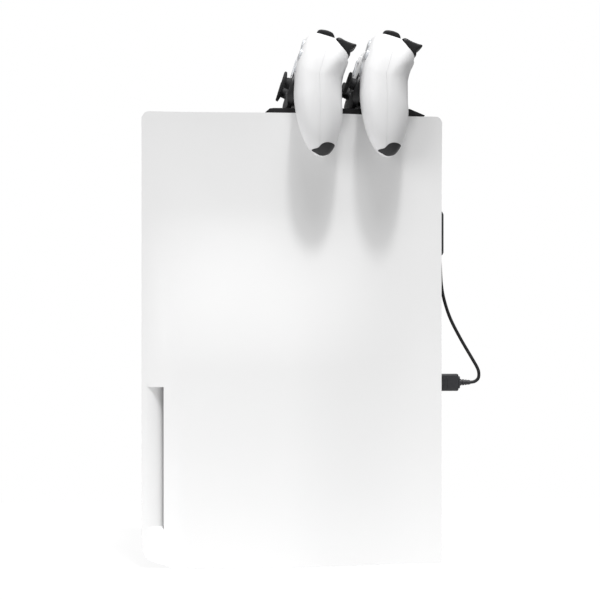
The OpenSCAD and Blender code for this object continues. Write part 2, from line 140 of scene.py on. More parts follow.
# The lead is drawn this much thinner all round, to stay inside its CAD solid
CABLE_SLIM = 0.05
PLUG_Z = 156.1
# Places (y, z) that the lead passes through, from the dock's rear to the plug
CABLE_ROUTE = [(118, 385.5), (121, 385.5), (124, 384.4), (126.2, 382.2), (127.2, 379), (127.4, 370),
               (127.4, 355), (127.4, 340), (127.6, 326), (128.6, 313), (130.4, 300), (132, 287), (133, 275),
               (134, 263.9), (135.3, 243.4), (138, 229), (143.4, 213), (152.4, 195.4), (162.6, 178),
               (167.4, 169.6), (169, 164.6), (168.5, 159.8), (165.4, 156.9), (161.2, 156.1)]


def curve_length(points):
    return sum((Vector(b) - Vector(a)).length for a, b in zip(points, points[1:]))


cable_line = [(0.0, y * MM, z * MM) for y, z in open_curve(CABLE_ROUTE, 6)]
cable_curve = bpy.data.curves.new("dock_lead", "CURVE")
cable_curve.dimensions = "3D"
cable_curve.bevel_depth = (CABLE_D / 2 - CABLE_SLIM) * MM
cable_curve.bevel_resolution = 6
cable_spline = cable_curve.splines.new("POLY")
cable_spline.points.add(len(cable_line) - 1)
for point, place in zip(cable_spline.points, cable_line):
    point.co = (*place, 1)
cable = bpy.data.objects.new("dock_lead", cable_curve)
bpy.context.scene.collection.objects.link(cable)


# ---------- materials ----------

PLASTIC_IOR = 1.46
COAT_ROUGHNESS = 0.12
DRIFT_SCALE, GLOSS_SCALE = 14.0, 90.0
GLOSS_SPREAD = 0.12
GRAIN_HEIGHT = 0.0002


def new_material(name):
    material = bpy.data.materials.new(name)
    material.use_nodes = True
    return material, material.node_tree.nodes, material.node_tree.links


def noise(nodes, links, place, scale, detail=3.0):
    node = nodes.new("ShaderNodeTexNoise")
    node.inputs["Scale"].default_value = scale
    node.inputs["Detail"].default_value = detail
    links.new(place, node.inputs["Vector"])
    return node


def moulded(name, colour, roughness, grain=2600.0, grain_depth=0.12, drift=0.03, coat=0.0, metallic=0.0,
            sheen=0.0):
    """Moulded surface: slow drift of tone, uneven gloss and a fine grain in relief."""
    material, nodes, links = new_material(name)
    shader = nodes["Principled BSDF"]
    shader.inputs["Metallic"].default_value = metallic
    shader.inputs["IOR"].default_value = PLASTIC_IOR
    shader.inputs["Coat Weight"].default_value = coat
    shader.inputs["Coat Roughness"].default_value = COAT_ROUGHNESS
    shader.inputs["Sheen Weight"].default_value = sheen
    place = nodes.new("ShaderNodeTexCoord").outputs["Object"]
    slow = noise(nodes, links, place, DRIFT_SCALE)
    ramp = nodes.new("ShaderNodeValToRGB")
    ramp.color_ramp.elements[0].position = 0.3
    ramp.color_ramp.elements[1].position = 0.7
    ramp.color_ramp.elements[0].color = (*[c * (1 - drift) for c in colour], 1)
    ramp.color_ramp.elements[1].color = (*[min(1, c * (1 + drift)) for c in colour], 1)
    links.new(slow.outputs["Fac"], ramp.inputs["Fac"])
    links.new(ramp.outputs["Color"], shader.inputs["Base Color"])
    gloss = nodes.new("ShaderNodeMapRange")
    gloss.inputs["To Min"].default_value = roughness * (1 - GLOSS_SPREAD)
    gloss.inputs["To Max"].default_value = min(1, roughness * (1 + GLOSS_SPREAD))
    links.new(noise(nodes, links, place, GLOSS_SCALE).outputs["Fac"], gloss.inputs["Value"])
    links.new(gloss.outputs["Result"], shader.inputs["Roughness"])
    bump = nodes.new("ShaderNodeBump")
    bump.inputs["Strength"].default_value = grain_depth
    bump.inputs["Distance"].default_value = GRAIN_HEIGHT
    links.new(noise(nodes, links, place, grain, 2.0).outputs["Fac"], bump.inputs["Height"])
    links.new(bump.outputs["Normal"], shader.inputs["Normal"])
    return material


COVER_WHITE = moulded("cover_white", (0.90, 0.90, 0.90), 0.34, grain=1800, grain_depth=0.05, drift=0.006,
                      coat=0.15)
PAD_WHITE = moulded("pad_white", (0.91, 0.91, 0.915), 0.42, grain=3200, grain_depth=0.16, drift=0.01)
CORE_BLACK = moulded("core_black", (0.012, 0.012, 0.013), 0.16, grain=900, grain_depth=0.02, coat=0.4)
TRIM_BLACK = moulded("trim_black", (0.012, 0.012, 0.013), 0.45, grain=3000, grain_depth=0.25)
CAP_GREY = moulded("cap_grey", (0.027, 0.027, 0.029), 0.5, grain=3000, grain_depth=0.25)
DOCK_BLACK = moulded("dock_black", (0.012, 0.012, 0.013), 0.42, grain=2400, grain_depth=0.3)
GREY = moulded("dark_grey_plastic", (0.045, 0.045, 0.05), 0.45, grain=2600, grain_depth=0.25)
RUBBER = moulded("stick_rubber", (0.018, 0.018, 0.019), 0.7, grain=2200, grain_depth=0.4, sheen=0.15)
JACKET = moulded("cable_jacket", (0.015, 0.015, 0.016), 0.5, grain=1500, grain_depth=0.15)
CLEAR = moulded("clear_button", (0.72, 0.74, 0.77), 0.08, grain=600, grain_depth=0.01, coat=1.0)
KEY_WHITE = moulded("key_white", (0.84, 0.84, 0.85), 0.3, grain=2600, grain_depth=0.05)
STEEL = moulded("plated_steel", (0.6, 0.6, 0.62), 0.28, grain=1200, grain_depth=0.08, metallic=1.0)
ALUMINIUM = moulded("bare_aluminium", (0.72, 0.73, 0.74), 0.35, grain=1000, grain_depth=0.2, metallic=1.0)
GOLD = moulded("gold_plating", (0.83, 0.62, 0.26), 0.22, grain=1400, grain_depth=0.05, metallic=1.0)
BOARD = moulded("board_green", (0.03, 0.13, 0.07), 0.4, grain=700, grain_depth=0.3, drift=0.15)


def dress(piece, material):
    piece.data.materials.clear()
    piece.data.materials.append(material)


# ---------- mesh helpers, in millimetres until the mesh is made ----------

# Edges sharper than this many degrees stay crisp, unless a piece says otherwise
SHARP = 38


def new_piece(name, points, faces, material, sharp=SHARP):
    mesh = bpy.data.meshes.new(name)
    mesh.from_pydata([tuple(c * MM for c in p) for p in points], [], faces)
    return finish_piece(name, mesh, material, sharp)


def finish_piece(name, mesh, material, sharp=SHARP):
    """Object with a cleaned mesh, closed at its seams and smoothly shaded."""
    work = bmesh.new()
    work.from_mesh(mesh)
    bmesh.ops.remove_doubles(work, verts=work.verts, dist=1e-6)
    bmesh.ops.dissolve_degenerate(work, edges=work.edges, dist=1e-7)
    bmesh.ops.recalc_face_normals(work, faces=work.faces)
    work.to_mesh(mesh)
    work.free()
    mesh.shade_smooth()
    mesh.set_sharp_from_angle(angle=math.radians(sharp))
    piece = bpy.data.objects.new(name, mesh)
    bpy.context.scene.collection.objects.link(piece)
    dress(piece, material)
    return piece


def loft(name, loops, material, sharp=SHARP):
    """Closed skin through loops of equal length, with flat ends."""
    n, m = len(loops[0]), len(loops)
    faces = [(i * n + j, i * n + (j + 1) % n, (i + 1) * n + (j + 1) % n, (i + 1) * n + j)
             for i in range(m - 1) for j in range(n)]
    faces += [tuple(range(n)), tuple((m - 1) * n + j for j in reversed(range(n)))]
    return new_piece(name, [p for loop in loops for p in loop], faces, material, sharp)


def bar(name, outline, low, high, place, edge, material, steps=4, sharp=SHARP):
    """Solid with a closed outline from low to high, its two end rims rounded to radius edge."""
    angles = [math.radians(90 * i / steps) for i in range(steps + 1)]
    rising = [(low + edge * (1 - math.cos(a)), edge * (1 - math.sin(a))) for a in angles]
    loops = [[place(p, h) for p in inset(outline, d)] for h, d in rising]
    loops += [[place(p, low + high - h) for p in inset(outline, d)] for h, d in reversed(rising)]
    return loft(name, loops, material, sharp)


def lathe(name, profile, centre, material, segments=48, sharp=SHARP):
    """Round solid about the controller's depth axis: profile holds (radius, height towards the player)."""
    loops = [[(x, centre[1] - h, z) for x, z in circle(r, segments, (centre[0], centre[2]))]
             for r, h in profile]
    return loft(name, loops, material, sharp)


def boolean(target, cutter, operation):
    """Replaces target's mesh by its difference or intersection with cutter, which is used up."""
    modifier = target.modifiers.new("cut", "BOOLEAN")
    modifier.operation = operation
    modifier.solver = "EXACT"
    modifier.object = cutter
    bpy.context.view_layer.update()
    cut = bpy.data.meshes.new_from_object(target.evaluated_get(bpy.context.evaluated_depsgraph_get()))
    target.modifiers.clear()
    old = target.data
    target.data = cut
    bpy.data.meshes.remove(old)
    cut.shade_smooth()
    cut.set_sharp_from_angle(angle=math.radians(SHARP))
    bpy.data.objects.remove(cutter, do_unlink=True)


def soften(piece, width, segments=3, angle=40):
    modifier = piece.modifiers.new("soft_edges", "BEVEL")
    modifier.width = width * MM
    modifier.segments = segments
    modifier.limit_method = "ANGLE"
    modifier.angle_limit = math.radians(angle)
    modifier.use_clamp_overlap = True


def join(pieces, name):
    """One object with the meshes of all the pieces, which are used up."""
    work = bmesh.new()
    for piece in pieces:
        work.from_mesh(piece.data)
    mesh = bpy.data.meshes.new(name)
    work.to_mesh(mesh)
    work.free()
    material = pieces[0].data.materials[0]
    for piece in pieces:
        bpy.data.objects.remove(piece, do_unlink=True)
    return finish_piece(name, mesh, material)


def along_x(p, h):
    return (h, p[0], p[1])


def along_y(p, h):
    return (p[0], h, p[1])


def along_z(p, h):
    return (p[0], p[1], h)


# ---------- side covers ----------

cover_low, cover_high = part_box("side_cover_right")
HALF_D = cover_high[1] / MM
# The top edge rises this much above COVER_TOP in front
TOP_RISE = 1.5
COVER_TOP = cover_high[2] / MM - TOP_RISE
COVER_FOOT = cover_low[2] / MM
REAR_HALF_W, FRONT_HALF_W, TOP_HALF_W, BULGE_HALF_W = 36.0, 46.0, 41.0, 52.0
COVER_T = 2.5
SLOT_Y = (-123.5, -111.0)
SLOT_Z = (32.0, 155.0)
SLOT_FLOOR = 40.6
# The ramp into the slot starts this far in front of it, and ends in an open gap this wide
RAMP_LEAD, RAMP_GAP = 2.0, 0.5
RAMP_CURVE, RAMP_FADE = 1.3, 4.0
# The front edge's foot: how far up its slant and its arc reach, and how far back they start
SLANT_TOP, SLANT_START = 6.7, 29
ARC_TOP, ARC_START = 26, 7.5
TOP_FRONT_R, TOP_REAR_R, FOOT_REAR_R = 7, 6, 2.5
# Where each flare starts and how far it runs: forwards to the front edge, and up to the top
FLARE_Y, FLARE_RUN = -60, 70
TOP_FLARE_Z, TOP_FLARE_RUN = 285, 105
# The bulge rises over this depth in front of the crease, and fades out towards the rear and the top
BULGE_RISE = 32
BULGE_FADE_Y, BULGE_FADE_DEPTH = -4, 119
BULGE_FADE_Z, BULGE_FADE_HEIGHT = 170, 140
# Points exactly on the slot's edge count as inside it
SLACK = 0.1


def round_in(r, t):
    """How far a corner of radius r draws an edge in, t along the corner."""
    return 0 if t <= 0 else r - math.sqrt(max(0, r * r - t * t))


def front_edge(z):
    """Front edge of the cover at z: slanted and arced at its foot, rounded at its top."""
    if z < SLANT_TOP:
        return -HALF_D + SLANT_START - (SLANT_START - ARC_START) * z / SLANT_TOP
    if z < ARC_TOP:
        up = (ARC_TOP - z) / (ARC_TOP - SLANT_TOP)
        return -HALF_D + ARC_START * (1 - math.sqrt(1 - min(1, up * up)))
    return -HALF_D + round_in(TOP_FRONT_R, z - COVER_TOP + TOP_FRONT_R)


def rear_edge(z):
    """Rear edge of the cover at z, rounded at both ends."""
    top = round_in(TOP_REAR_R, z - COVER_TOP + TOP_REAR_R)
    foot = round_in(FOOT_REAR_R, COVER_FOOT + FOOT_REAR_R - z)
    return HALF_D - top - foot


def crease_y(z):
    """Crease between the flared front edge and the bulge, which is at its fullest from there."""
    return -98 - 16 * clamp((z - 92) / 180) ** 1.15


def flare(y):
    """How far the cover flares out towards its front edge."""
    return (FRONT_HALF_W - REAR_HALF_W) * clamp((FLARE_Y - y) / FLARE_RUN) ** 2


def top_flare(y, z):
    """How far the cover flares out towards its top, a little less in its rear half."""
    rise = (TOP_HALF_W - REAR_HALF_W) * clamp((z - TOP_FLARE_Z) / TOP_FLARE_RUN) ** 2
    return rise * (1 - 0.2 * smooth((y + 25) / 25))


def cover_surface(y, z, side):
    """Outer face's distance from the middle; the disc side also bulges out over the drive."""
    width = REAR_HALF_W + math.hypot(flare(y), top_flare(y, z))
    if side < 0:
        return width
    rise = clamp(1 - (crease_y(z) - y) / BULGE_RISE)
    fade_back = 1 - smooth((y - BULGE_FADE_Y) / BULGE_FADE_DEPTH)
    fade_up = 1 - smooth((z - BULGE_FADE_Z) / BULGE_FADE_HEIGHT)
    return width + (BULGE_HALF_W - width) * rise * fade_back * fade_up


def slot_depth(y, z):
    """How far the slot's ramp lies under the cover: deepest at its rear side, faded out at its foot."""
    if not SLOT_Y[0] - RAMP_LEAD < y < SLOT_Y[1] - SLACK or not SLOT_Z[0] < z < SLOT_Z[1] + SLACK:
        return 0
    across = (y - SLOT_Y[0] + RAMP_LEAD) / (SLOT_Y[1] - SLOT_Y[0] + RAMP_LEAD - RAMP_GAP)
    deepest = cover_surface(y, z, 1) - SLOT_FLOOR
    return deepest * across ** RAMP_CURVE * smooth((z - SLOT_Z[0]) / RAMP_FADE)


def cover_height(y, z):
    """Height of a row of points: the top edge stands a little higher in front than at the rear."""
    return z + TOP_RISE * smooth((z - 340) / 45) * (1 - 1.6 * smooth((y - 20) / 90))


def steps_between(stops, pitch):
    """Values from the first stop to the last, through all stops, about pitch apart."""
    values = []
    for a, b in zip(stops, stops[1:]):
        n = max(1, round((b - a) / pitch))
        values += [a + (b - a) * i / n for i in range(n)]
    return values + [stops[-1]]


# Pitch of the cover's points, finer over the slot, and extra ones at these distances from its edges
COVER_PITCH, SLOT_PITCH = 4, 1.25
SIDE_EDGE = (0.4, 1, 1.8, 2.8)
FOOT_EDGE = (0.4, 1, 1.8, 2.5, 3.5, 5, 6.2, 7.2, 8.5, 10.5, 12.5, 15)
TOP_EDGE = (0.15, 0.5, 1, 1.8, 2.8, 4, 5.4, 7)


def side_cover(name, side):
    """Curved cover as an outer and an inner skin; the disc side has a ramp down into the disc slot."""
    slot_front, gap_start = SLOT_Y[0] - RAMP_LEAD, SLOT_Y[1] - RAMP_GAP
    columns = sorted(set(steps_between([-HALF_D, slot_front, gap_start], SLOT_PITCH)
                         + steps_between([SLOT_Y[1], -90, BULGE_FADE_Y, 115, HALF_D], COVER_PITCH))
                     | {-HALF_D + d for d in SIDE_EDGE} | {HALF_D - d for d in SIDE_EDGE})
    levels = [COVER_FOOT, ARC_TOP, *SLOT_Z, BULGE_FADE_Z, 310, 380, COVER_TOP]
    rows = sorted(set(steps_between(levels, COVER_PITCH))
                  | {COVER_FOOT + d for d in FOOT_EDGE} | {COVER_TOP - d for d in TOP_EDGE}
                  | {SLOT_Z[0] + d for d in (1.3, 2.6, 4)} | {SLOT_Z[1] + 0.4})
    points, faces = [], []
    for z in rows:
        for y in columns:
            y = min(rear_edge(z), max(front_edge(z), y))
            sunk = slot_depth(y, z) if side > 0 else 0
            points.append((side * (cover_surface(y, z, side) - sunk), y, cover_height(y, z)))
    n = len(columns)
    for i in range(len(rows) - 1):
        for j in range(n - 1):
            in_gap = (side > 0 and abs(columns[j] - gap_start) < 0.01
                      and SLOT_Z[0] + 1 < rows[i] < SLOT_Z[1] - 0.01)
            if not in_gap:
                faces.append((i * n + j, i * n + j + 1, (i + 1) * n + j + 1, (i + 1) * n + j))
    # The same skin again, further in, and a rim along every open edge
    m = len(points)
    points += [(x - side * COVER_T, y, z) for x, y, z in points]
    edges = {(a, b) for face in faces for a, b in zip(face, face[1:] + face[:1])}
    rims = [(b, a, a + m, b + m) for a, b in sorted(edges) if (b, a) not in edges]
    faces += [tuple(a + m for a in reversed(face)) for face in faces] + rims
    cover = new_piece(name, points, faces, COVER_WHITE, sharp=60)
    soften(cover, 0.7, 3, 50)
    return cover


def slot_tray():
    """Floor of the slot, from the foot of the ramp to under the cover."""
    high, low = SLOT_FLOOR - 0.02, SLOT_FLOOR - 1.3
    front, rear = SLOT_Y[1] - 2, SLOT_Y[1] + 3
    outline = [(high, front), (low, front), (low, rear), (high, rear)]
    return bar("slot_tray", outline, SLOT_Z[0] - 1, SLOT_Z[1] + 1, along_z, 0.05, COVER_WHITE, 1, 50)


cover_right = side_cover("cover_right", 1)
cover_left = side_cover("cover_left", -1)
tray = slot_tray()
for piece in (cover_right, cover_left, tray):
    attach(piece, "console")
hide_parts("side_cover_right")
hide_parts("side_cover_left")


# ---------- controllers ----------

# Where a stick's tilting axes cross, on the controller's own axes; -STICK_X on its left
STICK_X, STICK_PIVOT, STICK_Z = 32.0, -14.0, 10.3
stick_axis = JOINTS["pad1_right_stick_side_to_side"]["axis"]
PAD_TILT = math.atan2(stick_axis[1], stick_axis[2])


def pad_place(k):
    """Matrix from a controller's own axes to the row frame."""
    turn = Matrix.Rotation(-PAD_TILT, 4, "X")
    pivot = Vector(JOINTS[f"pad{k + 1}_right_stick_up_down"]["pos_m"])
    own = turn @ Vector((STICK_X, STICK_PIVOT, STICK_Z)) * MM
    return Matrix.Translation(pivot - own) @ turn


# Extent of a controller's body on its own axes, and of its belly between the grips
PAD_HALF_W = 80.0
PAD_TOP = 55.4
GRIP_LOW = -45.6
BELLY_LOW = 3.2
# Height at which the body is widest, and where its top, foot and thickness start to round off
WIDE_Z = 12.0
TOP_ROUND_X, FOOT_ROUND_X, DEPTH_ROUND_X = 60, 62, 50
# Thickness between the grips, as a share of the grips' own
BELLY_SHARE = 0.88


def end_round(x, start, power=2):
    """Falls from 1 at start to 0 at the body's outer end, along a rounded curve."""
    t = clamp((abs(x) - start) / (PAD_HALF_W - start))
    return math.sqrt(max(0, 1 - t ** power))


def pad_high(x):
    """Top of the body at x."""
    return WIDE_Z + (PAD_TOP - WIDE_Z) * end_round(x, TOP_ROUND_X)


def pad_low(x):
    """Foot of the body at x: high between the grips, low in them."""
    a = abs(x)
    if a < FOOT_ROUND_X:
        return lerp(BELLY_LOW, GRIP_LOW, smooth((a - 40) / 17))
    return WIDE_Z - (WIDE_Z - GRIP_LOW) * end_round(x, FOOT_ROUND_X)


def pad_wide(x):
    """Thickness of the body at x, as a share of pad_deep: a little less between the grips."""
    return lerp(BELLY_SHARE, 1, smooth((abs(x) - 28) / 16)) * end_round(x, DEPTH_ROUND_X, 3.2)


def pad_mid(z):
    """Depth at which the seam between the front and rear shell lies: it leans back in the grips."""
    return -6 + 21 * clamp((20 - z) / 66) ** 0.95


def pad_deep(z):
    """Half the body's greatest thickness: the grips are a little thicker."""
    return 20.3 + 1.9 * smooth((18 - z) / 24)


def pad_hook(z):
    """Slight hook of the back, under the triggers."""
    return 1.9 * smooth((z - 29) / 9)


def pad_point(x, t):
    """Point on the body's section at x, t round it from the rear: a squarish oval."""
    up = math.sin(t) >= 0
    n = 5.5 if up else lerp(5, 2, smooth((abs(x) - 38) / 14))
    centre, half = (pad_high(x) + pad_low(x)) / 2, (pad_high(x) - pad_low(x)) / 2
    z = centre + half * signed_power(math.sin(t), 2 / n)
    deep = pad_deep(z) + (pad_hook(z) if math.cos(t) > 0 else 0)
    return (x, pad_mid(z) + deep * pad_wide(x) * signed_power(math.cos(t), 2 / n), z)


HALF_STATIONS = steps_between([0, 28, 64, 74], 2) + steps_between([74, 78], 1) + [78.7, 79.2, 79.5, 79.7]
PAD_STATIONS = sorted({s * x for s in (-1, 1) for x in HALF_STATIONS})
HALF_POINTS = 40
SEAM_POINTS = 12
# Each half stays this far from the seam
SEAM = 0.05
# Room round a cap in the shells
CAP_GAP = 0.12


def pad_half(name, side):
    """Front (-1) or back (1) half of the body, closed along the seam."""
    loops = []
    for x in PAD_STATIONS:
        arc = [pad_point(x, math.radians(90 - side * i * 180 / HALF_POINTS)) for i in range(HALF_POINTS + 1)]
        top, foot = arc[0][2], arc[-1][2]
        heights = [lerp(top, foot, j / SEAM_POINTS) for j in range(SEAM_POINTS - 1, 0, -1)]
        seam = [(x, pad_mid(z) + side * SEAM, z) for z in heights]
        arc[0] = (x, arc[0][1] + side * SEAM, top)
        arc[-1] = (x, arc[-1][1] + side * SEAM, foot)
        loops.append(arc + seam)
    return loft(name, loops, PAD_WHITE)


def pad_tips(name):
    """Both grips' lower ends, whole."""
    tips = []
    for s in (-1, 1):
        loops = [[pad_point(x, math.radians(90 + i * 180 / HALF_POINTS)) for i in range(2 * HALF_POINTS)]
                 for x in PAD_STATIONS if 44 < s * x < 79]
        tips.append(loft(name, loops, CAP_GREY))
    return join(tips, name)


# Outline of the dark cap on the outer side of a grip's tip
CAP_OUTLINE = [(7.4, -42.5), (12.5, -44.3), (16.9, -44.6), (21.4, -42.2), (25.0, -37.8), (26.6, -34.9),
               (25.5, -33.1), (23.0, -32.3), (18.0, -33.0), (14.1, -35.6), (11.8, -39.6)]


def plain_bar(name, outline, low, high, place, material=PAD_WHITE):
    return bar(name, outline, low, high, place, 0, material, 1)


# Height that is clear of the body, where cutters end
CLEAR_Z = 62
BUMPER_X, TRIGGER_X = 51, 51.4


def cutter_pair(name, outline, middle, half):
    """The same cutter across the body on its left and right, middle +- half from the centre."""
    pair = [plain_bar(name, outline, s * middle - half, s * middle + half, along_x) for s in (-1, 1)]
    return join(pair, name)


def cap_cutter(grow):
    """Cuts the caps out of the grips' tips, grown by the gap round them."""
    return cutter_pair("cap_cutter", inset(closed_curve(CAP_OUTLINE, 5), -grow), 74, 16 + grow)


def shoulder_cutter():
    """Slanted shoulder that a trigger lies on."""
    outline = [(-0.9, CLEAR_Z), (-0.9, 54.0), (-0.5, 53.2), (0.9, 51.9), (5.5, 48.4), (10.9, 45.2),
               (14.9, 42.3), (16.5, 40.6), (30, 40.6), (30, CLEAR_Z)]
    return cutter_pair("shoulder", outline, 59, 22)


def trigger_cutter():
    """Deeper room inside the shoulder that a trigger swings in."""
    outline = [(-0.9, CLEAR_Z), (-0.9, 49.6), (4, 46.3), (8, 42.3), (11, 39.2), (30, 39.2), (30, CLEAR_Z)]
    return cutter_pair("room", outline, TRIGGER_X, 14)


def bumper_cutter():
    """Pocket that a bumper sits in."""
    outline = [(-17.9, CLEAR_Z), (-17.9, 52.4), (-0.8, 52.4), (-0.8, CLEAR_Z)]
    return cutter_pair("pocket", outline, BUMPER_X, 13.4)


# The four face buttons stand FACE_STEP from (FACE_X, FACE_Z); the direction pad at (-FACE_X, FACE_Z)
FACE_X, FACE_Z, FACE_STEP, FACE_R = 52.0, 33.0, 10.0, 4.6
# Gap round every key in its well
GAP = 0.4
FACE_PLACES = {"button_top": (0, 1), "button_right": (1, 0), "button_bottom": (0, -1), "button_left": (-1, 0)}
MENU_X, MENU_Z = 36.5, 44.0
MENU_SIZE = (3.2, 8)
TOUCH_SIZE, TOUCH_R, TOUCH_Z = (54, 20), 3, 34.0
CROSS_ARM, CROSS_SPAN = 8, 25
HOME_Z = 4
SOCKET_Z = 44
# Depths on the controller's own axes: the trim's front and back, the direction pad's front,
# how deep the wells go, and a depth in front of everything
TRIM_FRONT, TRIM_BACK = -26.2, -19.0
KEY_FRONT = -26.9
WELL_DEPTH = -19
AHEAD = -40
# Screws in the back of each controller
SCREW_PLACES = [(-52, 4), (52, 4), (-58, -18), (58, -18)]


def cross_outline(arm, length, r=1.2):
    """Anticlockwise cross with rounded corners."""
    a, b = arm / 2, length / 2
    corners = [(a, a), (a, b), (-a, b), (-a, a), (-b, a), (-b, -a), (-a, -a), (-a, -b), (a, -b), (a, -a),
               (b, -a), (b, a)]
    outline = []
    for i, corner in enumerate(corners):
        before, here, after = Vector(corners[i - 1]), Vector(corner), Vector(corners[(i + 1) % len(corners)])
        start = here + (before - here).normalized() * r
        end = here + (after - here).normalized() * r
        outline += [tuple((1 - t) ** 2 * start + 2 * t * (1 - t) * here + t * t * end)
                    for t in (0, 0.25, 0.5, 0.75, 1)]
    return outline


def shift(outline, x, z):
    return [(p[0] + x, p[1] + z) for p in outline]


def pill(w, h):
    """Tall rounded rectangle with round ends."""
    return rounded_rect(w, h, w / 2 - 0.01, 8)


# The trim's round lobes, and the foot and top of its waist
LOBE_R, LOBE_Z = 14.6, 6.8
WAIST_LOW, WAIST_HIGH = -7.8, 17.2


def trim_outline(grow):
    """Dark centre piece: a lobe round each stick, joined by a waist."""
    r = LOBE_R + grow
    low, high = WAIST_LOW - grow, WAIST_HIGH + grow
    right = [(STICK_X + r * math.cos(a), LOBE_Z + r * math.sin(a))
             for a in (math.radians(-88 + 3.5 * i) for i in range(55))]
    left = [(-x, z) for x, z in reversed(right)]
    middle_high = [(x, high - 1.2 * (1 - (abs(x) / 20) ** 2)) for x in (16, 8, 0, -8, -16)]
    middle_low = [(x, low + 1.0 * (1 - (abs(x) / 20) ** 2)) for x in (-16, -8, 0, 8, 16)]
    return right + middle_high + left + middle_low


def well(outline, depth=WELL_DEPTH):
    """Cutter from in front of the controller down to depth."""
    return plain_bar("well", outline, AHEAD, depth, along_y)


def front_cutters():
    """Wells in the face: centre piece, menu and face buttons, direction pad, touchpad and speaker holes."""
    cutters = [plain_bar("well", trim_outline(0.15), -60, TRIM_BACK + 0.1, along_y)]
    menu = pill(MENU_SIZE[0] + 2 * GAP, MENU_SIZE[1] + 2 * GAP)
    cutters += [well(shift(menu, s * MENU_X, MENU_Z)) for s in (-1, 1)]
    for dx, dz in FACE_PLACES.values():
        centre = (FACE_X + FACE_STEP * dx, FACE_Z + FACE_STEP * dz)
        cutters.append(well(circle(FACE_R + GAP, 40, centre), -18.8))
    cross = cross_outline(CROSS_ARM + 2 * GAP, CROSS_SPAN + 2 * GAP)
    cutters.append(well(shift(cross, -FACE_X, FACE_Z)))
    touch = rounded_rect(TOUCH_SIZE[0] + 2 * GAP, TOUCH_SIZE[1] + 2 * GAP, TOUCH_R)
    cutters.append(well(shift(touch, 0, TOUCH_Z), -20))
    cutters.append(join([well(circle(0.6, 16, (x, 20.6)), -21) for x in range(-12, 13, 3)], "holes"))
    return cutters


def build_front_shell():
    shell = pad_half("front_shell", -1)
    boolean(shell, cap_cutter(CAP_GAP), "DIFFERENCE")
    boolean(shell, bumper_cutter(), "DIFFERENCE")
    for cutter in front_cutters():
        boolean(shell, cutter, "DIFFERENCE")
    for s in (-1, 1):
        boolean(shell, well(circle(13, 48, (s * STICK_X, STICK_Z)), -8.2), "DIFFERENCE")
    return shell


def build_rear_shell():
    shell = pad_half("rear_shell", 1)
    boolean(shell, cap_cutter(CAP_GAP), "DIFFERENCE")
    for cutter in (bumper_cutter(), shoulder_cutter(), trigger_cutter()):
        boolean(shell, cutter, "DIFFERENCE")
    socket = shift(rounded_rect(9, 3.2, 1.59), 0, SOCKET_Z)
    boolean(shell, plain_bar("socket", socket, 5, 30, along_y), "DIFFERENCE")
    for x, z in SCREW_PLACES:
        boolean(shell, plain_bar("well", circle(2.0, 24, (x, z)), 8, 40, along_y), "DIFFERENCE")
    return shell


def build_pad_hardware():
    """Screw heads in the back and the tongue of the charging socket."""
    parts = []
    for x, z in SCREW_PLACES:
        head = plain_bar("screw", circle(1.9, 24, (x, z)), 8.4, 10.6, along_y, STEEL)
        cross = shift(cross_outline(0.55, 2.4, 0.1), x, z)
        boolean(head, plain_bar("cross", cross, 9.8, 12, along_y, STEEL), "DIFFERENCE")
        parts.append(head)
    blade = shift(rounded_rect(6.4, 0.8, 0.39), 0, SOCKET_Z)
    parts.append(bar("tongue", blade, 5.4, 11, along_y, 0.1, STEEL, 1))
    return join(parts, "hardware")


def build_grip_caps():
    caps = pad_tips("grip_caps")
    boolean(caps, cap_cutter(0), "INTERSECT")
    return caps


def build_trim():
    trim = bar("trim", trim_outline(0), TRIM_FRONT, TRIM_BACK, along_y, 0.7, TRIM_BLACK, 3, 50)
    for s in (-1, 1):
        boolean(trim, well(circle(9.2, 48, (s * STICK_X, STICK_Z)), 0), "DIFFERENCE")
    boolean(trim, well(circle(3.9, 32, (0, HOME_Z)), 0), "DIFFERENCE")
    slope = [(-30, 1.6), (TRIM_FRONT - 0.02, 1.6), (TRIM_FRONT + 0.35, -0.9), (-25.0, -3.6), (-23.9, -6.2),
             (-22.4, -9), (-30, -9)]
    boolean(trim, plain_bar("slope", slope, -60, 60, along_x), "DIFFERENCE")
    return trim


# Side outlines (y, z) of a bumper and a hooked trigger
BUMPER = [(-17.4, 54.1), (-17.5, 55.6), (-17.3, 56.9), (-16.0, 58.1), (-13.6, 58.9), (-11.1, 59.3),
          (-8.7, 59.4), (-6.5, 59.2), (-4.2, 58.6), (-2.4, 57.0), (-1.5, 55.4), (-1.4, 54.1), (-6, 54.0),
          (-12, 54.0)]
TRIGGER = [(-0.3, 54.2), (-0.1, 55.5), (1.3, 56.5), (3.1, 56.7), (5.9, 56.1), (8.8, 55.6), (14.3, 55.3),
           (17.3, 55.5), (18.1, 54.9), (18.0, 53.6), (17.1, 51.9), (15.3, 49.9), (14.6, 47.8), (15.1, 45.9),
           (15.2, 44.6), (14.6, 43.7), (13.4, 44.2), (10.9, 45.9), (5.5, 49.0), (0.9, 52.5)]
# The bumper stays this far inside its outline, within its CAD solid
BUMPER_SLIM = 0.15
# How much of its depth and of its height a key loses at its ends
END_DEPTH, END_HEIGHT = 2.2 / 9, 2.2 / 5


def crown_bar(name, outline, middle, half):
    """Bar across the controller whose ends draw in, as a moulded key's do."""
    u0 = sum(p[0] for p in outline) / len(outline)
    v0 = sum(p[1] for p in outline) / len(outline)
    loops = []
    for angle in range(-90, 91, 10):
        s = math.sin(math.radians(angle))
        draw = 1 - math.sqrt(max(0, 1 - abs(s) ** 7))
        loops.append([(middle + s * half, lerp(u, u0, END_DEPTH * draw), lerp(v, v0, END_HEIGHT * draw))
                      for u, v in outline])
    return loft(name, loops, TRIM_BLACK, 60)


def build_bumper(s):
    return crown_bar("bumper", inset(closed_curve(BUMPER[::-1], 4), BUMPER_SLIM), s * BUMPER_X, 12.9)


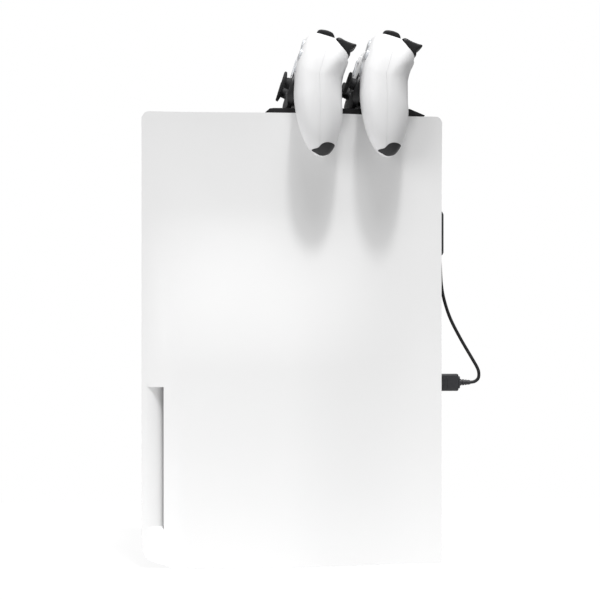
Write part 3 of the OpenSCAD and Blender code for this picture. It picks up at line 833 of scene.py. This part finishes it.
def build_trigger(s):
    return crown_bar("trigger", closed_curve(TRIGGER[::-1], 4), s * TRIGGER_X, 13)


def build_stick(s):
    """Post, dome and a hollowed cap with a raised, ribbed rim."""
    centre = (s * STICK_X, STICK_PIVOT, STICK_Z)
    cap_profile = [(0.01, 8.0), (3.4, 8.0), (3.4, 12), (3.7, 14.5), (4.6, 16.2), (7.4, 17.0), (8.5, 17.3),
                   (8.9, 17.9), (9.0, 18.7), (8.8, 19.4), (8.2, 19.9), (7.6, 19.9), (7.0, 19.5),
                   (6.2, 18.9), (4.2, 18.5), (2.0, 18.3), (0.01, 18.25)]
    dome_profile = [(0.01, 5.0), (7.2, 5.0), (7.35, 5.6), (7.2, 6.3), (6.75, 8.2), (6.25, 9.7), (5.75, 11.2),
                    (5.3, 12.5), (4.95, 13.7), (4.85, 15), (4.6, 16), (0.01, 16.1)]
    cap = lathe("stick", cap_profile, centre, RUBBER, 64, 60)
    dome = lathe("dome", dome_profile, centre, RUBBER, 48, 60)
    rim = circle(8.95, 36, (centre[0], centre[2]))
    ribs = [plain_bar("rib", circle(0.22, 8, place), centre[1] - 19.4, centre[1] - 17.6, along_y, RUBBER)
            for place in rim]
    return join([cap, dome, *ribs], "stick")


def build_glow_strip():
    """Clear strip along each side of the touchpad, which lights up on the real object."""
    strips = []
    for s in (-1, 1):
        line = [(s * 28.3, TOUCH_Z - 8), (s * 28.5, TOUCH_Z), (s * 28.3, TOUCH_Z + 8)]
        outline = line + [(x + s * 0.9, z) for x, z in reversed(line)]
        if s < 0:
            outline.reverse()
        strips.append(bar("strip", outline, -24.35, -21.5, along_y, 0.2, CLEAR, 2, 50))
    return join(strips, "glow_strip")


def build_face_button(name):
    dx, dz = FACE_PLACES[name]
    centre = (FACE_X + FACE_STEP * dx, 0, FACE_Z + FACE_STEP * dz)
    profile = [(0.01, 20.6), (4.3, 20.6), (FACE_R, 20.9), (FACE_R, 25.7), (4.45, 26.2), (4.0, 26.55),
               (3.0, 26.77), (1.5, 26.87), (0.01, 26.9)]
    return lathe("face_button", profile, centre, CLEAR, 48, 50)


def build_dpad():
    """Cross-shaped direction pad with a shallow dish in its middle."""
    cross = shift(cross_outline(CROSS_ARM, CROSS_SPAN), -FACE_X, FACE_Z)
    key = bar("dpad", cross, KEY_FRONT, -20.8, along_y, 0.7, CLEAR, 4, 50)
    profile = [(0.01, 26.1), (2.5, 26.3), (4.4, 27.3), (4.4, 30), (0.01, 30)]
    dish = lathe("dish", profile, (-FACE_X, 0, FACE_Z), CLEAR)
    boolean(key, dish, "DIFFERENCE")
    return key


def build_menu(s):
    outline = shift(pill(*MENU_SIZE), s * MENU_X, MENU_Z)
    return bar("menu", outline, -26.4, -20.8, along_y, 0.6, KEY_WHITE, 4, 50)


def build_home():
    profile = [(0.01, 20.5), (3.5, 20.5), (3.5, 26.7), (3.2, 27.1), (2.6, 27.2), (1.6, 26.95), (0.01, 26.85)]
    return lathe("home", profile, (0, 0, HOME_Z), TRIM_BLACK, 32, 50)


def build_touchpad():
    outline = shift(rounded_rect(*TOUCH_SIZE, TOUCH_R), 0, TOUCH_Z)
    return bar("touchpad", outline, -24.6, -21.2, along_y, 0.5, PAD_WHITE, 4, 50)


# Each controller piece: name, model, body it rides on ({p} is pad1 or pad2), and finish
PAD_PIECES = [("front_shell", build_front_shell(), "{p}", "grip_shell"),
              ("rear_shell", build_rear_shell(), "{p}", "grip_shell"),
              ("trim", build_trim(), "{p}", "black_trim"),
              ("touchpad", build_touchpad(), "{p}_touchpad_key", "grip_shell"),
              ("dpad", build_dpad(), "{p}_dpad_key", "clear_button"),
              ("create_button", build_menu(-1), "{p}_create_button_key", "white_key"),
              ("options_button", build_menu(1), "{p}_options_button_key", "white_key"),
              ("home_button", build_home(), "{p}_home_button_key", "black_trim")]
PAD_PIECES += [(name, build_face_button(name), "{p}_" + name + "_key", "clear_button")
               for name in FACE_PLACES]
for side, s in (("left", -1), ("right", 1)):
    PAD_PIECES += [(side + "_bumper", build_bumper(s), "{p}_" + side + "_bumper_key", "black_trim"),
                   (side + "_trigger", build_trigger(s), "{p}_" + side + "_trigger_lever", "black_trim"),
                   (side + "_stick", build_stick(s), "{p}_" + side + "_stick_post", "stick_rubber")]
PAD_PIECES += [("grip_caps", build_grip_caps(), "{p}", "black_trim"),
               ("hardware", build_pad_hardware(), "{p}", "port_metal"),
               ("glow_strip", build_glow_strip(), "{p}", "clear_button")]
# Pieces that stand for no CAD node
EXTRA_PIECES = ("grip_caps", "hardware", "glow_strip")

for k in (0, 1):
    pad = f"pad{k + 1}"
    for name, model, body, finish in PAD_PIECES:
        mesh = model.data.copy()
        mesh.transform(pad_place(k))
        piece = bpy.data.objects.new(f"{pad}.{name}", mesh)
        bpy.context.scene.collection.objects.link(piece)
        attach(piece, body.format(p=pad))
        if name not in EXTRA_PIECES:
            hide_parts(f"{pad}_{name}")
for name, model, body, finish in PAD_PIECES:
    bpy.data.objects.remove(model, do_unlink=True)


# ---------- dock and its lead ----------

def along_plug(p, h):
    return (p[0], h, PLUG_Z + p[1])


def along_exit(p, h):
    return (p[0], h, CABLE_ROUTE[0][1] + p[1])


def build_plug():
    """USB plug's grip with finger ridges, neck and ribbed strain relief."""
    grip = bar("plug", rounded_rect(8, 15.2, 1.8), 119.4, 150.2, along_plug, 1.2, GREY, 4, 50)
    ridges = [bar("ridge", shift(rounded_rect(0.5, 9, 0.24), s * 3.95, 0), y, y + 1.0, along_plug, 0.1,
                  GREY, 1, 50)
              for s in (-1, 1) for y in range(128, 141, 3)]
    neck = bar("neck", rounded_rect(6.2, 11, 2), 150.0, 151.7, along_plug, 0.6, GREY, 2, 50)
    relief = [bar("relief", circle(3.0 - 0.28 * i, 32), 151.4 + 2.4 * i, 153.2 + 2.4 * i, along_plug, 0.35,
                  GREY, 2, 50)
              for i in range(4)]
    core = bar("relief_core", circle(1.9, 32), 150.5, 161.2, along_plug, 0.1, GREY, 1, 50)
    return join([grip, *ridges, neck, *relief, core], "usb_plug_grip")


def build_plug_tongue():
    return bar("usb_plug_tongue", rounded_rect(4.5, 12, 0.5), 108, 119.6, along_plug, 0.2, STEEL, 1, 50)


plug = build_plug()
tongue = build_plug_tongue()
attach(plug, "console")
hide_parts("usb_plug")
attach(tongue, "console")

dress(cable, JACKET)
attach(cable, "console")
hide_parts("dock_cable")
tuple(cable_line[0])
round(curve_length(cable_line), 3)


def console_piece(piece):
    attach(piece, "console")


def build_cable_relief():
    """Short ribbed sleeve where the lead leaves the dock."""
    start = CABLE_ROUTE[0][0]
    rings = []
    for i in range(3):
        middle = start + 1.5 * i
        ring = circle(2.75 - 0.22 * i, 32)
        rings.append(bar("sleeve", ring, middle - 0.6, middle + 0.6, along_exit, 0.25, JACKET, 2, 50))
    core = bar("sleeve_core", circle(1.9, 32), start - 1, start + 3.4, along_exit, 0.2, JACKET, 2, 50)
    return join([core, *rings], "dock_lead_sleeve")


def build_sockets():
    """Plated tongues and pins inside the USB, video, network and mains sockets."""
    deep, lip = 108.2, 117.4 - 1.5
    usb, video = rounded_rect(1.8, 10.6, 0.3), rounded_rect(1.6, 12, 0.3)
    parts = [bar("tongue", shift(usb, 12, PLUG_Z), deep, lip, along_y, 0.1, STEEL, 1),
             bar("tongue", shift(video, -12, PLUG_Z), deep, lip, along_y, 0.1, STEEL, 1),
             bar("tongue", shift(usb, 0, 188), -lip, -deep, along_y, 0.1, STEEL, 1)]
    for i in range(8):
        pin = shift(rounded_rect(0.4, 3, 0.1), i - 3.5, 186.2)
        parts.append(bar("pin", pin, deep, lip - 1.5, along_y, 0.05, GOLD, 1))
    for z in (99.5, 108.5):
        parts.append(bar("pin", shift(circle(1.1, 20), 0, z), 107, lip, along_y, 0.3, STEEL, 2))
    return join(parts, "socket_metal")


def build_light_strips():
    """Slim clear strips down the front corners of the core, beside the covers."""
    outline = rounded_rect(1.4, 300, 0.6)
    strips = [bar("strip", shift(outline, s * 27.6, 205), -118.35, -117.2, along_y, 0.2, CLEAR, 2)
              for s in (-1, 1)]
    return join(strips, "light_strips")


def build_dust_screens():
    """Dark screens behind the core's air slots, front and rear."""
    width, near, far = 54, 113.4, 114.4
    front_outline = shift(rounded_rect(width, 146, 2), 0, 301)
    rear_outline = shift(rounded_rect(width, 166, 2), 0, 291)
    front = bar("screen", front_outline, -far, -near, along_y, 0.2, CORE_BLACK, 2)
    rear = bar("screen", rear_outline, near, far, along_y, 0.2, CORE_BLACK, 2)
    return join([front, rear], "dust_screens")


console_piece(build_dust_screens())
console_piece(build_cable_relief())
console_piece(build_sockets())
console_piece(build_light_strips())


# ---------- CAD nodes that keep their own shape ----------

NODE_LOOKS = {"core_shell_right": CORE_BLACK, "core_shell_left": CORE_BLACK, "front_port_block": GREY,
              "rear_port_block": GREY, "power_button": KEY_WHITE, "eject_button": KEY_WHITE,
              "fan_rotor": GREY, "heatsink": ALUMINIUM, "power_supply": GREY, "main_board": BOARD,
              "disc_drive": GREY, "disc_spindle": STEEL, "dock_base": DOCK_BLACK, "dock_cover": DOCK_BLACK,
              "dock_contacts": GOLD, "cable_clip": GREY}
for pad in ("pad1", "pad2"):
    NODE_LOOKS[pad + "_left_stick_yoke"] = GREY
    NODE_LOOKS[pad + "_right_stick_yoke"] = GREY
# Width of the rounding on the edges of CAD nodes
BEVELS = {"core_shell_right": 0.5, "core_shell_left": 0.5, "front_port_block": 0.25, "rear_port_block": 0.25,
          "power_button": 0.35, "eject_button": 0.35, "dock_base": 0.5, "dock_cover": 0.7, "cable_clip": 0.5,
          "disc_drive": 0.4, "heatsink": 0.2, "fan_rotor": 0.2, "disc_spindle": 0.3}
for node, material in NODE_LOOKS.items():
    dress(frame["nodes"][node], material)
    if node in BEVELS:
        weld = frame["nodes"][node].modifiers.new("weld", "WELD")
        weld.merge_threshold = 1e-6
        soften(frame["nodes"][node], BEVELS[node])


# ---------- floor and light ----------

FLOOR_HALF = 0.4
FLOOR_GREY = 0.1
FLOOR_GLOW = 0.92


def stage_plane():
    """Pale floor under the object, about as bright as the surroundings."""
    mesh = bpy.data.meshes.new("floor")
    corners = [(x * FLOOR_HALF, y * FLOOR_HALF, 0) for x, y in ((-1, -1), (1, -1), (1, 1), (-1, 1))]
    mesh.from_pydata(corners, [], [(0, 1, 2, 3)])
    floor = bpy.data.objects.new("floor", mesh)
    bpy.context.scene.collection.objects.link(floor)
    material, nodes, links = new_material("floor_white")
    shader = nodes["Principled BSDF"]
    shader.inputs["Base Color"].default_value = (FLOOR_GREY, FLOOR_GREY, FLOOR_GREY, 1)
    shader.inputs["Roughness"].default_value = 0.9
    shader.inputs["Specular IOR Level"].default_value = 0.0
    shader.inputs["Emission Color"].default_value = (1, 1, 1, 1)
    shader.inputs["Emission Strength"].default_value = FLOOR_GLOW
    floor.data.materials.append(material)


def area_light(name, place, aim, size, power):
    """Round lamp, size metres across, turned towards aim."""
    data = bpy.data.lights.new(name, "AREA")
    data.shape = "DISK"
    data.size = size
    data.energy = power
    lamp = bpy.data.objects.new(name, data)
    lamp.location = place
    lamp.rotation_euler = (Vector(place) - Vector(aim)).to_track_quat("Z", "Y").to_euler()
    bpy.context.scene.collection.objects.link(lamp)


def white_world(seen, cast):
    """White surroundings: seen is how bright they look, cast how much they light."""
    world = bpy.data.worlds.new("studio")
    bpy.context.scene.world = world
    world.use_nodes = True
    nodes, links = world.node_tree.nodes, world.node_tree.links
    nodes.clear()
    camera_ray = nodes.new("ShaderNodeLightPath").outputs["Is Camera Ray"]
    mix = nodes.new("ShaderNodeMixShader")
    for slot_index, strength in ((1, cast), (2, seen)):
        white = nodes.new("ShaderNodeBackground")
        white.inputs["Strength"].default_value = strength
        white.inputs["Color"].default_value = (1, 1, 1, 1)
        links.new(white.outputs["Background"], mix.inputs[slot_index])
    links.new(camera_ray, mix.inputs["Fac"])
    links.new(mix.outputs["Shader"], nodes.new("ShaderNodeOutputWorld").inputs["Surface"])


UPPER_MIDDLE = (0.05, 0.03, 0.35)
LOWER_MIDDLE = (0.0, 0.0, 0.25)
stage_plane()
white_world(seen=1.0, cast=0.3)
area_light("key", (1.63, 0.31, 4.55), UPPER_MIDDLE, size=0.45, power=105)
area_light("overhead", (1.3, 0.2, 3.6), UPPER_MIDDLE, size=1.5, power=58)
area_light("fill", (1.1, -1.3, 0.7), LOWER_MIDDLE, size=1.2, power=10)
bpy.context.scene.view_settings.view_transform = "Standard"
